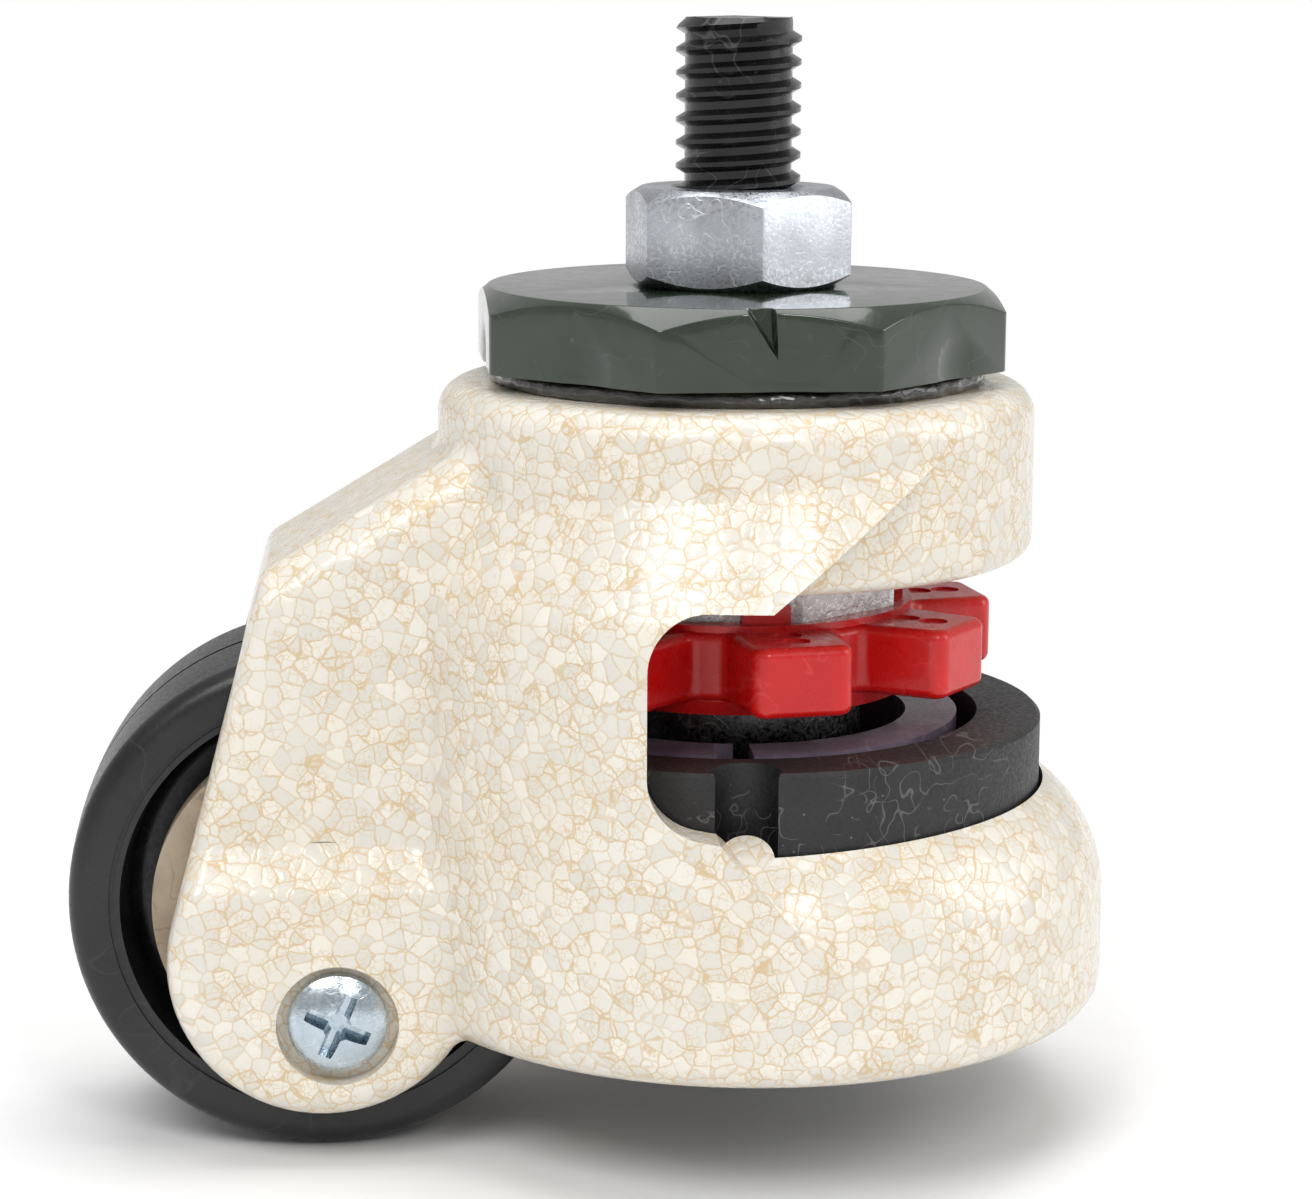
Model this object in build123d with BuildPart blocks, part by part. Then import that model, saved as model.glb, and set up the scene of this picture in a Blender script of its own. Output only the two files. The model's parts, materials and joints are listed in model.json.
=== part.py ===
from build123d import *
from math import acos, asin, atan2, cos, degrees, hypot, pi, radians, sin, sqrt, tan
import os

os.makedirs("parts", exist_ok=True)

# Levelling castor: a swivel castor on a threaded stem, with a pad that a thumbwheel winds
# down in front of the wheel. Millimetres, +Z up. The origin is on the stem's axis, in the
# mounting face, which is the top of the swivel cap. The wheel trails towards -X, the open
# front of the foot looks towards +X, and Y is across.

# ---------------------------------------------------------------- sizes: stem, nut and cap
stem_radius = 6.0
stem_reach = 25.4               # mounting face to the stem's tip
stem_tip_chamfer = 0.9
stem_waist = 0.22               # the stretch under the lock nut is this much thinner in radius
nut_across_flats = 19.8
nut_height = 9.4
nut_turn = -23.76               # degrees, one of its corners
nut_flat_circle = 9.3           # radius of the flat ring left by the chamfer
nut_chamfer_angle = 32
thread_clearance = 0.05         # between the plain cylinders that stand for mating threads
cap_across_flats = 49.0
cap_thickness = 7.5
cap_turn = 1.42                 # degrees the octagon is turned from square to the castor
cap_flat_circle = 24.0
cap_chamfer_angle = 38
cap_corner_rounding = 1.2
dimple_ball = 11.0              # radius of the tool that stakes the cap's facets
dimple_depth = 0.45
dimple_height = 1.3             # dimple centres above the cap's lower edge
dimple_shift = 1.7              # and this far along the facet from its middle
gouge_width = 2.6               # of the V struck in one facet's upper edge
gouge_length = 3.6
gouge_lean = 1.6
gouge_x = -0.6
gouge_distance = 23.0           # |Y| where the V runs out
press_clearance = 0.02          # radial, between pieces pressed together

# ---------------------------------------------------------------- sizes: swivel bearing
race_gap = 1.6                  # cap underside to housing top
upper_ball_radius = 2.0
upper_ball_inset = 3.1          # seal's inner edge to the ball centres
upper_ball_count = 26
lower_ball_radius = 1.5
lower_ball_inset = 2.1          # race's edge to the ball centres
lower_ball_count = 14
groove_clearance = 0.05         # ball to groove
kingpin_radius = 5.0
kingpin_hole_clearance = 0.25
kingpin_tail = 0.8              # kingpin past its nut
kingpin_nut_room = 1.2          # nut's corners to the lifting tube round it
kingpin_nut_height = 4.8
lower_race_room = 0.45          # race to the lifting tube round it
lower_race_height = 2.6
lower_race_gap = 1.5            # web underside to lower race
race_seal_width = 1.4
race_seal_inset = 0.4           # inside the cap's flats
race_seal_clearance = 0.12      # seal to cap

# ---------------------------------------------------------------- sizes: housing
collar_margin = 4.4             # collar beyond the cap's flats
collar_height = 16.5
collar_top_rounding = 3.0
collar_bottom_rounding = 1.8
web_thickness = 7.3             # the web that carries both ball races
drum_wall = 4.6                 # round the foot's bore
drum_shift = 1.5                # the drum's axis lies this far ahead of the stem
ground_clearance = 12.5         # floor to the housing's and the raised foot's lower edge
drum_bottom_rounding = 3.0
ridge_drop = 19.0               # housing top to the soft ridge where the drum starts to taper
ridge_rounding = 7.0
flare_drop = 6.7                # housing top to where the taper meets the collar
ring_straight = 11.0            # lower edge to where the front ring starts to round in
window_back = -11.0             # X of the column's front edge
window_top_lip = 0.4            # column's window starts this far under the collar
sill_below_pad = 4.4            # pad's rim to the window's sill
window_rounding = 5.5
window_sill_run = 6.5           # the sill's nearly level stretch before it falls to the ring
window_sill_drop = 1.0
window_fall_run = 10.5
flare_cut_start = 0.1           # X where the flare's slanted end meets the window's top
flare_cut_angle = 37
ring_top_radius = 13.3          # section radius of the front ring's rounded top
ring_inner_radius = 27.0

# ---------------------------------------------------------------- sizes: fork and axle
wheel_gap = 0.97                # wheel to the thumbwheel above it
wheel_radius = 24.6
wheel_width = 23.5
well_clearance = 0.8            # wheel to its well, all round
fork_half_width = 15.0          # over the upper arms
lobe_half_width = 18.0          # over the lobes that hold the carrier screws
lobe_radius = 14.8
lobe_drop = 4.6                 # axle to the lobes' centre
lobe_step_low = 2.4             # axle up to where the lobe starts to step in
lobe_step_rise = 4.2
fender_rear = 5.5               # axle back to the fender's rear corner
fender_wall = 6.85              # that corner above the wheel well
fender_angle = 31.1
fender_side_rounding = 4.6
arm_edge_rounding = 2.2
step_rounding = 2.4
crease_rounding = 2.5           # where fork, drum and collar run into one another

# ---------------------------------------------------------------- sizes: inside the housing
foot_clearance = 0.4            # radial, foot to its bore
bore_headroom = 0.6             # bore above the raised foot
guide_clearance = 0.3           # foot's flat back to the wall behind it
guide_wall = 1.5                # that wall, between the foot and the wheel
key_radius = 2.6                # half-round ribs that keep the foot from turning
key_setback = 0.3               # rib centres outside the bore's wall
key_angle = 93.3                # from the front to each rib, round the stem
chamber_clearance = 1.96        # room the thumbwheel turns in
seat_margin = 1.5               # shallow seat round the thrust washer
seat_depth = 0.9
neck_clearance = 0.3
neck_bore_depth = 5.6           # from the collar's underside
tube_room = 0.5                 # radial, round the lifting tube above the neck
pocket_radius = 31.5            # core pockets beside the wheel
pocket_wall = 1.9
pocket_half_width = 16.0
pocket_depth = 23.5

# ---------------------------------------------------------------- sizes: carriers and screws
carrier_radius = 16.3
carrier_face = 8.0              # |Y| of the carrier's inner face
spigot_radius = 7.0
spigot_length = 2.5
axle_radius = 4.0
axle_length = 24.0
screw_forward = 1.2             # screw ahead of the axle
screw_drop = 10.2               # and below it
screw_head_radius = 4.7
screw_head_height = 2.6
screw_shank_radius = 2.5
screw_point = 9.2               # |Y| the shank reaches in to
recess_width = 1.5
recess_length = 6.6
recess_depth = 1.9
recess_turn = 24                # degrees
screw_pocket_radius = 5.8
screw_pocket_depth = 2.2

# ---------------------------------------------------------------- sizes: wheel and bearings
wheel_crown = 0.35              # tread lower at its edges than in the middle
wheel_edge_rounding = 2.0
tread_groove = 0.7
web_recess_radius = 18.6
rim_line_radius = 20.2
rim_line_depth = 0.5
web_half_thickness = 4.5
hub_radius = 13.5
hub_half_width = 7.4
bearing_radius = 11.0
bearing_width = 7.0
bearing_gap = 0.8               # hub shoulder between the two bearings
bearing_outer_wall = 1.9
bearing_inner_wall = 2.1
bearing_ball_radius = 1.95
bearing_ball_count = 8
washer_radius = 6.0
washer_thickness = 0.5

# ---------------------------------------------------------------- sizes: thumbwheel and its nut
lobe_count = 8
lobe_turn = -80.6               # degrees, the first lobe
lobe_reach = 25.24              # axis to a lobe's outer face
lobe_face_half = 4.71
lobe_root_half = 5.5
lobe_valley_wall = 2.58         # plastic between the insert's flats and the valleys
lobe_underside = 11.9           # collar's underside to the lobes' undersides
lobe_thickness = 6.6
lobe_corner_rounding = 1.5
lobe_edge_rounding = 0.9
hub_drop = 1.4                  # hub skirt below the lobes
hub_rise = 0.6                  # hub top above the lobes
hub_wall = 2.05                 # plastic round the insert's flats, above and below the lobes
ejector_radius = 1.4
ejector_depth = 0.25
ejector_setback_outer = 3.44    # from a lobe's outer face
ejector_setback_inner = 6.34
tab_count = 4
tab_width = 4.6
tab_thickness = 1.7
tab_height = 1.7                # tabs above the hub's top
insert_wall = 2.85              # tube's thread to the insert's flats
insert_turn = -73               # degrees, one of the octagon's corners
insert_inset = 0.3              # insert above the hub's lower face
neck_wall = 2.4
neck_height = 5.2
neck_groove_depth = 0.8
neck_groove_rise = 2.7          # collar's underside to the groove
neck_groove_width = 2.0
thrust_washer_width = 4.8
thrust_washer_thickness = 0.8
thrust_clearance = 0.05
snap_ring_wire = 0.8            # wire radius
snap_ring_inset = 0.4           # wire's centre outside the neck
snap_ring_gap = 40              # degrees left open

# ---------------------------------------------------------------- sizes: foot
tube_radius = 12.5
tube_wall = 2.05
tube_top_gap = 1.2              # tube to the web above it
thread_running = 0.06           # nut to tube, both plain here
pad_radius = 30.2
pad_back_margin = 0.5           # foot's flat back behind the tube
pad_gap = 2.5                   # thumbwheel's underside to the pad's rim
pad_floor = 1.5
notch_radius = 3.2
notch_setback = 1.55            # notch centre inside the pad's edge
pad_step_width = 2.0            # pad's rim stands this far round the plate
pad_step_depth = 8.0
pad_groove_shift = 8.0          # middle groove's X
pad_groove_width = 1.6
pad_groove_depth = 0.7
plate_cup_gap = 4.5             # tube to the plate's upstanding ring
plate_cup_wall = 5.0
plate_base_thickness = 3.0
plate_below_rim = 0.2
plate_notch_width = 3.4
plate_notch_depth = 1.6
plate_notch_angle = -95

# ---------------------------------------------------------------- levels
insert_across_flats = 2 * (tube_radius + insert_wall)
neck_radius = tube_radius + neck_wall
neck_bore_radius = neck_radius + neck_clearance
thrust_washer_radius = neck_bore_radius + thrust_washer_width
snap_ring_radius = neck_radius + snap_ring_inset
lobe_valley_radius = insert_across_flats / 2 + lobe_valley_wall
plate_radius = tube_radius + plate_cup_gap + plate_cup_wall
lower_race_radius = tube_radius - tube_wall - lower_race_room
lower_ball_circle = lower_race_radius - lower_ball_inset
kingpin_nut_corner = tube_radius - tube_wall - kingpin_nut_room
race_seal_radius = cap_across_flats / 2 - race_seal_inset
upper_ball_circle = race_seal_radius - race_seal_width - upper_ball_inset
collar_radius = cap_across_flats / 2 + collar_margin
bore_radius = pad_radius + foot_clearance
drum_radius = bore_radius + drum_wall
pad_back = -tube_radius - pad_back_margin
guide_back = pad_back - guide_clearance
well_radius = wheel_radius + well_clearance
well_half_width = wheel_width / 2 + well_clearance
axle_x = guide_back - guide_wall - well_radius

cap_bottom = -cap_thickness
housing_top = cap_bottom - race_gap
web_bottom = housing_top - web_thickness
collar_bottom = housing_top - collar_height
lobe_bottom = collar_bottom - lobe_underside
lobe_top = lobe_bottom + lobe_thickness
hub_bottom = lobe_bottom - hub_drop
hub_top = lobe_top + hub_rise
axle_z = lobe_bottom - wheel_gap - sqrt(wheel_radius**2 - (axle_x + lobe_reach) ** 2)
drum_bottom = axle_z - wheel_radius + ground_clearance
ridge_level = housing_top - ridge_drop
flare_level = housing_top - flare_drop
shoulder_level = drum_bottom + ring_straight
pad_top = hub_bottom - pad_gap
bore_top = pad_top + bore_headroom
window_top = collar_bottom - window_top_lip
window_bottom = pad_top - sill_below_pad
tube_top = web_bottom - tube_top_gap
neck_bore_top = collar_bottom + neck_bore_depth
snap_level = collar_bottom + neck_groove_rise + neck_groove_width / 2
groove_bottom = snap_level - snap_ring_wire - groove_clearance
groove_top = snap_level + snap_ring_wire + groove_clearance
upper_ball_level = (housing_top + cap_bottom) / 2
lower_ball_level = web_bottom - lower_race_gap / 2
screw_x = axle_x + screw_forward
screw_z = axle_z - screw_drop

drum_axis = Axis((drum_shift, 0, 0), (0, 0, 1))
axle_axis = Axis((axle_x, 0, axle_z), (0, 1, 0))
axle_plane = Plane(origin=(axle_x, 0, axle_z), x_dir=(0, 1, 0), z_dir=(1, 0, 0))


def turned(points, axis=Axis.Z, plane=Plane.XZ, mode=Mode.ADD):
    # a solid of revolution from the corners of its half section
    with BuildSketch(plane) as half_section:
        with BuildLine():
            Polyline(*points, close=True)
        make_face()
    revolve(half_section.sketch, axis=axis, mode=mode)


def turned_circle(x, y, radius, axis=Axis.Z, plane=Plane.XZ, mode=Mode.SUBTRACT):
    # a groove of round section
    with BuildSketch(plane) as section:
        with Locations((x, y)):
            Circle(radius)
    revolve(section.sketch, axis=axis, mode=mode)


def bar(x, z, radius, near, far, mode=Mode.SUBTRACT):
    # a round hole or rod across the castor, between two values of Y
    with BuildSketch(Plane.XZ.offset(-near)) as section:
        with Locations((x, z)):
            Circle(radius)
    extrude(section.sketch, amount=near - far, mode=mode)


def key_places(radius):
    # the two places round the stem, left and right, where the foot is keyed
    x = radius * cos(radians(key_angle))
    y = radius * sin(radians(key_angle))
    return ((x, -y), (x, y))


def corner_near(sketch, x, y):
    return sketch.vertices().sort_by_distance((x, y, 0))[0]


# ---------------------------------------------------------------- housing, first its fork
lobe_z = axle_z - lobe_drop
nose_x = axle_x - fender_rear
nose_z = axle_z + well_radius + fender_wall
fork_front = -22.0              # the fork's profile ends inside the collar and the drum
fender_front_z = nose_z + (fork_front - nose_x) * tan(radians(fender_angle))
nose_to_lobe = hypot(axle_x - nose_x, lobe_z - nose_z)
edge_direction = atan2(lobe_z - nose_z, axle_x - nose_x) - asin(lobe_radius / nose_to_lobe)
edge_length = sqrt(nose_to_lobe**2 - lobe_radius**2)
edge_foot_x = nose_x + edge_length * cos(edge_direction)
edge_foot_z = nose_z + edge_length * sin(edge_direction)

with BuildPart() as fork:
    with BuildSketch(Plane.XZ):
        with BuildLine():
            Polyline(
                (nose_x, nose_z), (fork_front, fender_front_z), (fork_front, lobe_z),
                (axle_x, lobe_z), (edge_foot_x, edge_foot_z), close=True,
            )
        make_face()
        with Locations((axle_x, lobe_z)):
            Circle(lobe_radius)
    extrude(amount=lobe_half_width, both=True)
    step_low = axle_z + lobe_step_low
    step_high = step_low + lobe_step_rise
    with BuildSketch(Plane.YZ.offset(nose_x - lobe_radius)) as fork_section:
        with BuildLine():
            Polyline(
                (-lobe_half_width, lobe_z - lobe_radius), (lobe_half_width, lobe_z - lobe_radius),
                (lobe_half_width, step_low), (fork_half_width, step_high),
                (fork_half_width, housing_top), (-fork_half_width, housing_top),
                (-fork_half_width, step_high), (-lobe_half_width, step_low), close=True,
            )
        make_face()
        step_corners = [
            v for v in fork_section.vertices() if step_low - 1 < v.Y < step_high + 1
        ]
        fillet(step_corners, radius=step_rounding)
    extrude(amount=lobe_radius * 2 - nose_x, mode=Mode.INTERSECT)
    # soft edges: along the fender's shoulders, then over its nose and down the arms
    fender_sides = [
        e for e in fork.edges().filter_by(GeomType.LINE)
        if abs(e.tangent_at(0).Y) < 0.01
        and abs(abs(e.tangent_at(0).Z) - sin(radians(fender_angle))) < 0.01
    ]
    fillet(fender_sides, radius=fender_side_rounding)
    nose_edges = [
        e for e in fork.edges()
        if abs(e.tangent_at(0.5).Y) > 0.3 and e.center().Z > nose_z - fender_side_rounding
        and e.center().X < nose_x + 2
    ]
    arm_edges = [
        e for e in fork.edges()
        if abs(e.center().Y) > fork_half_width - 0.5 and e.center().X < axle_x + 2
        and abs(e.tangent_at(0.5).X) < 0.99
    ]
    fillet(nose_edges + arm_edges, radius=arm_edge_rounding)

drum_edge = drum_shift + drum_radius
taper_slope = (drum_radius - collar_radius) / (flare_level - ridge_level)
taper_top = flare_level + 3.0    # the taper runs on inside the collar
taper_top_x = drum_edge - taper_slope * (taper_top - ridge_level)
sill_front = window_back + window_sill_run
fall_front = sill_front + window_fall_run
flare_cut_end = flare_cut_start + (taper_top - window_top) / tan(radians(flare_cut_angle))

with BuildPart() as drum:
    with BuildSketch(Plane.XZ) as drum_profile:
        with BuildLine():
            Polyline(
                (drum_shift, drum_bottom), (drum_edge, drum_bottom), (drum_edge, ridge_level),
                (taper_top_x, taper_top), (drum_shift, taper_top), close=True,
            )
        make_face()
        fillet(corner_near(drum_profile, drum_edge, ridge_level), radius=ridge_rounding)
        fillet(corner_near(drum_profile, drum_edge, drum_bottom), radius=drum_bottom_rounding)
    revolve(axis=drum_axis)
    # only the column and the flare above it are kept; the finger window is what is cut away
    with BuildSketch(Plane.XZ) as column_side:
        with BuildLine():
            Polyline(
                (-2 * drum_radius, drum_bottom), (fall_front, drum_bottom),
                (fall_front, shoulder_level), (sill_front, window_bottom - window_sill_drop),
                (window_back, window_bottom), (window_back, window_top),
                (flare_cut_start, window_top), (flare_cut_end, taper_top),
                (-2 * drum_radius, taper_top), close=True,
            )
        make_face()
        fillet(corner_near(column_side, window_back, window_bottom), radius=window_rounding)
        fillet(corner_near(column_side, window_back, window_top), radius=window_rounding)
    extrude(amount=drum_radius + 1, both=True, mode=Mode.INTERSECT)

ring_arc_centre = drum_edge - ring_top_radius
ring_inner_rise = sqrt(ring_top_radius**2 - (drum_shift + ring_inner_radius - ring_arc_centre) ** 2)
with BuildPart() as ring:
    with BuildSketch(Plane.XZ) as ring_profile:
        ring_inner = drum_shift + ring_inner_radius
        ring_top = shoulder_level + ring_inner_rise
        with BuildLine():
            Polyline(
                (drum_edge, shoulder_level), (drum_edge, drum_bottom),
                (ring_inner, drum_bottom), (ring_inner, ring_top),
            )
            RadiusArc((ring_inner, ring_top), (drum_edge, shoulder_level), ring_top_radius)
        make_face()
        fillet(corner_near(ring_profile, drum_edge, drum_bottom), radius=drum_bottom_rounding)
    revolve(axis=drum_axis)

with BuildPart() as collar:
    with BuildSketch(Plane.XZ) as collar_profile:
        with BuildLine():
            Polyline(
                (0, collar_bottom), (collar_radius, collar_bottom),
                (collar_radius, housing_top), (0, housing_top), close=True,
            )
        make_face()
        fillet(corner_near(collar_profile, collar_radius, housing_top), collar_top_rounding)
        fillet(corner_near(collar_profile, collar_radius, collar_bottom), collar_bottom_rounding)
    revolve(axis=Axis.Z)

with BuildPart() as housing:
    add(collar.part)
    add(drum.part)
    add(ring.part)
    add(fork.part)
    # soft creases where the fork, the drum and the collar run into one another
    creases = new_edges(collar.part, drum.part, ring.part, fork.part, combined=housing.part)
    fillet([e for e in creases if e.center().X < 0 and e.center().Z > step_high], crease_rounding)

    # wheel well
    with BuildSketch(Plane.XZ):
        with Locations((axle_x, axle_z)):
            Circle(well_radius)
            Rectangle(2 * well_radius, 2 * wheel_radius, align=(Align.CENTER, Align.MAX))
    extrude(amount=well_half_width, both=True, mode=Mode.SUBTRACT)

    # bore for the foot, flat at its back, that leaves a half-round key rib on each side
    with BuildSketch(Plane.XY.offset(drum_bottom)):
        Circle(bore_radius)
        with Locations((guide_back, 0)):
            Rectangle(bore_radius, 3 * bore_radius, align=(Align.MAX, Align.CENTER),
                      mode=Mode.SUBTRACT)
        with Locations(*key_places(bore_radius + key_setback)):
            Circle(key_radius, mode=Mode.SUBTRACT)
    extrude(amount=bore_top - drum_bottom, mode=Mode.SUBTRACT)

    # chamber, thrust seat, neck bore with its ring groove, and room for the tube above
    chamber_radius = lobe_reach + chamber_clearance
    seat_radius = thrust_washer_radius + seat_margin
    ring_groove_radius = snap_ring_radius + snap_ring_wire + groove_clearance
    turned(
        [
            (0, bore_top), (chamber_radius, bore_top), (chamber_radius, collar_bottom),
            (seat_radius, collar_bottom), (seat_radius, collar_bottom + seat_depth),
            (neck_bore_radius, collar_bottom + seat_depth), (neck_bore_radius, groove_bottom),
            (ring_groove_radius, groove_bottom), (ring_groove_radius, groove_top),
            (neck_bore_radius, groove_top), (neck_bore_radius, neck_bore_top),
            (tube_radius + tube_room, neck_bore_top), (tube_radius + tube_room, web_bottom),
            (0, web_bottom),
        ],
        mode=Mode.SUBTRACT,
    )
    Hole(kingpin_radius + kingpin_hole_clearance)
    for ball_circle, ball_radius, ball_level in (
        (upper_ball_circle, upper_ball_radius, upper_ball_level),
        (lower_ball_circle, lower_ball_radius, lower_ball_level),
    ):
        turned_circle(ball_circle, ball_level, ball_radius + groove_clearance)

    # core pockets beside the wheel, open below
    with BuildSketch(Plane.XY.offset(drum_bottom)):
        with Locations((drum_shift, 0)):
            Circle(pocket_radius)
        with Locations((guide_back - pocket_wall, 0)):
            Rectangle(3 * bore_radius, 3 * bore_radius, align=(Align.MIN, Align.CENTER),
                      mode=Mode.SUBTRACT)
        Rectangle(3 * bore_radius, 2 * pocket_half_width, mode=Mode.SUBTRACT)
    extrude(amount=pocket_depth, mode=Mode.SUBTRACT)

    # seats for the carriers' spigots, and pockets and holes for their screws
    for side in (-1, 1):
        inner = side * well_half_width
        outer = side * lobe_half_width
        floor = side * (lobe_half_width - screw_pocket_depth)
        bar(axle_x, axle_z, spigot_radius + press_clearance, inner, inner + side * spigot_length)
        bar(screw_x, screw_z, screw_pocket_radius, floor, outer)
        bar(screw_x, screw_z, screw_shank_radius + press_clearance, inner, outer)

housing.part.label = "housing"

# ---------------------------------------------------------------- stem, nut, cap and seal


def coned(flat_radius, corner_radius, angle, bottom, top, both=True):
    # keep what lies inside a shallow cone at the top, and at the bottom too if both
    reach = corner_radius + 0.5
    fall = (reach - flat_radius) * tan(radians(angle))
    underside = [(reach, bottom + fall), (flat_radius, bottom)] if both else [(reach, bottom)]
    turned(
        [(0, top), (flat_radius, top), (reach, top - fall)] + underside + [(0, bottom)],
        mode=Mode.INTERSECT,
    )


lower_race_bottom = web_bottom - lower_race_gap - lower_race_height
kingpin_nut_bottom = lower_race_bottom - kingpin_nut_height
waist_top = nut_height + 0.4     # the thinner stretch ends just above the seated lock nut
with BuildPart() as threaded_stem:
    turned([
        (0, kingpin_nut_bottom - kingpin_tail), (kingpin_radius, kingpin_nut_bottom - kingpin_tail),
        (kingpin_radius, cap_bottom), (stem_radius - stem_waist, cap_bottom),
        (stem_radius - stem_waist, waist_top), (stem_radius, waist_top),
        (stem_radius, stem_reach), (0, stem_reach),
    ])
    ends = threaded_stem.edges().filter_by(GeomType.CIRCLE).group_by(Axis.Z)
    chamfer(ends[0] + ends[-1], stem_tip_chamfer)
threaded_stem.part.label = "threaded_stem"

nut_corner = nut_across_flats / 2 / cos(radians(30))
with BuildPart() as lock_nut:
    with BuildSketch():
        RegularPolygon(nut_across_flats / 2, 6, major_radius=False, rotation=nut_turn)
    extrude(amount=nut_height)
    coned(nut_flat_circle, nut_corner, nut_chamfer_angle, 0, nut_height)
    Hole(stem_radius + thread_clearance)
    mouths = lock_nut.edges().filter_by(GeomType.CIRCLE).sort_by(SortBy.RADIUS)[:2]
    chamfer(mouths, 0.4)
lock_nut.part.label = "lock_nut"

cap_corner = cap_across_flats / 2 / cos(radians(22.5))
facet_angles = [cap_turn + 45 * i for i in range(8)]
with BuildPart() as swivel_cap:
    with BuildSketch(Plane.XY.offset(cap_bottom)) as octagon:
        RegularPolygon(cap_across_flats / 2, 8, major_radius=False, rotation=cap_turn + 22.5)
        fillet(octagon.vertices(), radius=cap_corner_rounding)
    extrude(amount=cap_thickness)
    coned(cap_flat_circle, cap_corner, cap_chamfer_angle, cap_bottom, 0, both=False)
    Hole(stem_radius - stem_waist + press_clearance)
    turned_circle(upper_ball_circle, upper_ball_level, upper_ball_radius + groove_clearance)
    # staking dimples low on the eight facets
    dimple_reach = cap_across_flats / 2 + dimple_ball - dimple_depth
    for angle in facet_angles:
        across = Vector(0, 1, 0).rotate(Axis.Z, angle) * dimple_shift
        out = Vector(1, 0, 0).rotate(Axis.Z, angle) * dimple_reach
        with Locations(across + out + Vector(0, 0, cap_bottom + dimple_height)):
            Sphere(dimple_ball, mode=Mode.SUBTRACT)
    # a struck V in the upper edge of one facet
    with BuildSketch(Plane.XZ.offset(gouge_distance)):
        with BuildLine():
            Polyline(
                (gouge_x - gouge_width / 2, 1), (gouge_x + gouge_width / 2, 1),
                (gouge_x + gouge_lean, -gouge_length), close=True,
            )
        make_face()
    extrude(amount=gouge_width * 2, taper=-12, mode=Mode.SUBTRACT)
swivel_cap.part.label = "swivel_cap"

with BuildPart() as race_seal:
    seal_inner = race_seal_radius - race_seal_width
    seal_top = cap_bottom - race_seal_clearance
    seal_middle = (housing_top + seal_top) / 2
    turned([
        (seal_inner, housing_top), (race_seal_radius - 0.3, housing_top),
        (race_seal_radius, seal_middle), (race_seal_radius - 0.5, seal_top), (seal_inner, seal_top),
    ])
race_seal.part.label = "race_seal"

# ---------------------------------------------------------------- swivel bearing


def ball_ring(circle, radius, count, level):
    with PolarLocations(circle, count):
        with Locations((0, 0, level)):
            Sphere(radius)


with BuildPart() as upper_balls:
    ball_ring(upper_ball_circle, upper_ball_radius, upper_ball_count, upper_ball_level)
upper_balls.part.label = "upper_balls"

with BuildPart() as lower_balls:
    ball_ring(lower_ball_circle, lower_ball_radius, lower_ball_count, lower_ball_level)
lower_balls.part.label = "lower_balls"

with BuildPart() as lower_race:
    lower_race_top = lower_race_bottom + lower_race_height
    turned([
        (kingpin_radius + thread_clearance, lower_race_bottom), (lower_race_radius, lower_race_bottom),
        (lower_race_radius, lower_race_top), (kingpin_radius + thread_clearance, lower_race_top),
    ])
    turned_circle(lower_ball_circle, lower_ball_level, lower_ball_radius + groove_clearance)
lower_race.part.label = "lower_race"

with BuildPart() as kingpin_nut:
    with BuildSketch(Plane.XY.offset(kingpin_nut_bottom)):
        RegularPolygon(kingpin_nut_corner, 6)
    extrude(amount=kingpin_nut_height)
    coned(
        kingpin_nut_corner * nut_flat_circle / nut_corner, kingpin_nut_corner,
        nut_chamfer_angle, kingpin_nut_bottom, lower_race_bottom,
    )
    with Locations((0, 0, lower_race_bottom)):
        Hole(kingpin_radius + thread_clearance)
kingpin_nut.part.label = "kingpin_nut"

# ---------------------------------------------------------------- wheel with its two bearings
rim_radius = wheel_radius - wheel_crown
half_width = wheel_width / 2
web_step = hub_half_width - web_half_thickness
with BuildPart() as wheel:
    with BuildSketch(axle_plane) as wheel_section:
        with BuildLine():
            outline = Polyline(
                (0, hub_radius - 1), (hub_half_width, hub_radius - 1), (hub_half_width, hub_radius),
                (web_half_thickness, hub_radius + web_step * 0.2),
                (web_half_thickness, web_recess_radius), (half_width, web_recess_radius + 0.8),
                (half_width, rim_radius),
            )
            ThreePointArc(
                (half_width, rim_radius), (half_width / 2, wheel_radius - wheel_crown / 4),
                (0, wheel_radius),
            )
            Line((0, wheel_radius), (0, hub_radius - 1))
        make_face()
        fillet(corner_near(wheel_section, half_width, rim_radius), radius=wheel_edge_rounding)
        fillet(corner_near(wheel_section, web_half_thickness, web_recess_radius), radius=1.2)
        fillet(corner_near(wheel_section, hub_half_width, hub_radius), radius=0.6)
        mirror(about=Plane.YZ)
    revolve(axis=axle_axis)
    with BuildSketch(axle_plane):
        with BuildLine():
            Polyline(
                (-hub_half_width, bearing_radius + press_clearance),
                (hub_half_width, bearing_radius + press_clearance),
                (hub_half_width, hub_radius - 0.9), (-hub_half_width, hub_radius - 0.9), close=True,
            )
        make_face()
    revolve(axis=axle_axis)
    # the shoulder between the bearings
    with BuildSketch(axle_plane):
        with Locations((0, bearing_radius)):
            Rectangle(bearing_gap, 2 * bearing_outer_wall * 0.7)
    revolve(axis=axle_axis)
    # moulding line round the middle of the tread, and a fine line round each side of the rim
    with BuildSketch(axle_plane):
        with Locations((0, wheel_radius)):
            Rectangle(tread_groove, tread_groove)
        with Locations((half_width, rim_line_radius), (-half_width, rim_line_radius)):
            Rectangle(rim_line_depth, rim_line_depth)
    revolve(axis=axle_axis, mode=Mode.SUBTRACT)
wheel.part.label = "wheel"

inner_wall_radius = axle_radius + press_clearance + bearing_inner_wall
outer_wall_radius = bearing_radius - bearing_outer_wall
bearing_ball_circle = (inner_wall_radius + outer_wall_radius) / 2
bearing_centre = (bearing_gap + bearing_width) / 2


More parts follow.
